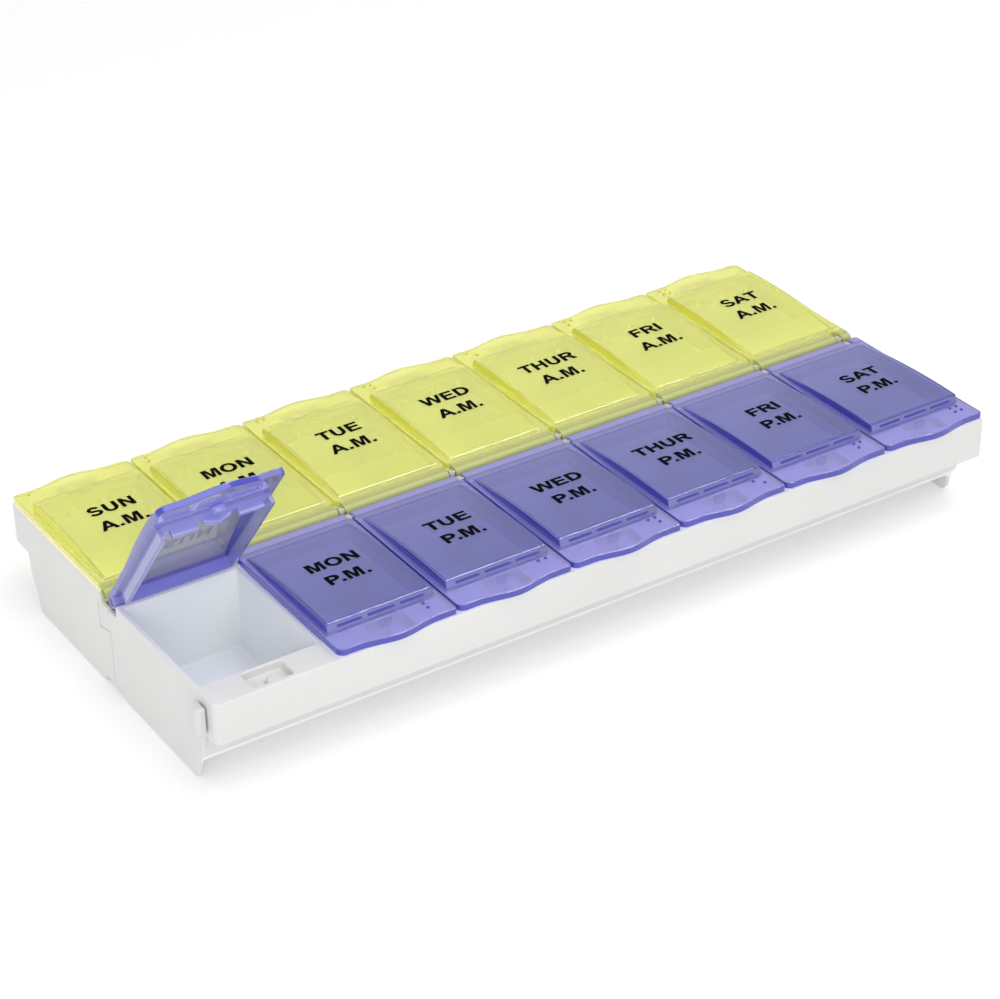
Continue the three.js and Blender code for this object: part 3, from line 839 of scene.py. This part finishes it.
# The Braille dots take the opaque deep rib colour: painted shade on dots of the clear lid plastic.
def add_braille(row, day, body, matrix, mat):
    spots = {1: (0, 0), 2: (0, 1), 3: (0, 2), 4: (1, 0), 5: (1, 1), 6: (1, 2)}
    bm = bmesh.new()
    for dot in BRAILLE[day]:
        col, line = spots[dot]
        if row == "pm":
            x, y = DOT_X[col], -DOT_Y[line]
        else:
            x, y = DOT_X[1 - col], -DOT_Y[2 - line]
        rings = [(FLANGE_Z[1] - 0.3, circle(x, y, DOT_R, 18))]
        for i in range(6):
            a = math.radians(15 * i)
            rings.append((FLANGE_Z[1] + DOT_H * math.sin(a), circle(x, y, DOT_R * math.cos(a), 18)))
        add_rings(bm, rings)
    for v in bm.verts:
        v.co *= MM
    bmesh.ops.recalc_face_normals(bm, faces=bm.faces)
    for f in bm.faces:
        f.smooth = True
    me = bpy.data.meshes.new(f"braille_{row}_{day}")
    bm.to_mesh(me)
    bm.free()
    add_piece(f"braille_{row}_{day}", me, mat, body, matrix)


def add_lids():
    meshes = {}
    for row, mat in (("am", YELLOW), ("pm", VIOLET)):
        for k, day in enumerate(DAYS):
            slot = k if row == "pm" else len(DAYS) - 1 - k
            kind = slot if slot in (0, len(DAYS) - 1) else 1
            if kind not in meshes:
                meshes[kind] = lid_mesh(kind)
            body = f"lid_{row}_{day}"
            matrix = lid_matrix(row, k)
            ob = add_piece(f"{body}_moulding", meshes[kind].copy(), mat, body, matrix)
            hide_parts(body)
            # The ribs and Braille dots get the opaque deep colour: painted shade.
            rib = RIB_AND_DOT_SHADE_YELLOW if row == "am" else RIB_AND_DOT_SHADE_VIOLET
            add_latch_ribs(row, day, body, matrix, rib)
            add_braille(row, day, body, matrix, rib)
            add_print(row, day, body, matrix)


def add_trays():
    tray, peg = tray_mesh(), peg_mesh()
    for row in ("pm", "am"):
        turn = Matrix.Rotation(math.pi, 4, "Z") if row == "am" else Matrix.Identity(4)
        ob = add_piece(f"tray_{row}_moulding", tray.copy(), WHITE, "base", turn)
        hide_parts(f"tray_{row}")
        ob = add_piece(f"end_peg_{row}_moulding", peg.copy(), GREY, "base", turn)
        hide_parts(f"end_peg_{row}")
        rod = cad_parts[f"hinge_rod_{row}"]
        rod.data.materials.clear()
        rod.data.materials.append(WIRE)


# ---- scene ----------------------------------------------------------------------------------
def add_floor():
    bm = bmesh.new()
    bmesh.ops.create_grid(bm, x_segments=2, y_segments=2, size=6.0)
    me = bpy.data.meshes.new("floor")
    bm.to_mesh(me)
    bm.free()
    me.materials.append(floor_material())
    ob = bpy.data.objects.new("floor", me)
    collection.objects.link(ob)


def area_light(name, place, size, power):
    """A rectangular lamp that faces the object and isn't seen through the lids."""
    data = bpy.data.lights.new(name, "AREA")
    data.shape = "RECTANGLE"
    data.size, data.size_y = size
    data.energy = power
    ob = bpy.data.objects.new(name, data)
    collection.objects.link(ob)
    ob.location = place
    ob.rotation_euler = (-Vector(place)).to_track_quat("-Z", "Y").to_euler()
    ob.visible_transmission = False
    return ob


def add_light():
    world = bpy.data.worlds.new("studio")
    bpy.context.scene.world = world
    world.use_nodes = True
    back = world.node_tree.nodes["Background"]
    back.inputs["Color"].default_value = (*SKY_COLOUR, 1.0)
    back.inputs["Strength"].default_value = SKY_STRENGTH
    area_light("overhead", (0.1, -0.35, 1.0), (0.9, 0.7), 4.7)
    fill = area_light("left_fill", (-0.5, -0.55, 0.3), (0.4, 0.4), 1.4)
    fill.visible_glossy = False
    glint = area_light("glint", (0.5, 0.17, 1.0), (0.35, 0.35), 6.0)
    glint.visible_diffuse = False


def add_camera():
    data = bpy.data.cameras.new("camera")
    data.lens = LENS
    data.sensor_width = SENSOR
    data.clip_start, data.clip_end = 0.01, 20.0
    ob = bpy.data.objects.new("camera", data)
    collection.objects.link(ob)
    ob.rotation_mode = "QUATERNION"
    ob.location = EYE
    ob.rotation_quaternion = EYE_TURN
    bpy.context.scene.camera = ob


add_trays()
add_lids()
add_floor()
add_light()
add_camera()
bpy.context.scene.view_settings.view_transform = "Standard"
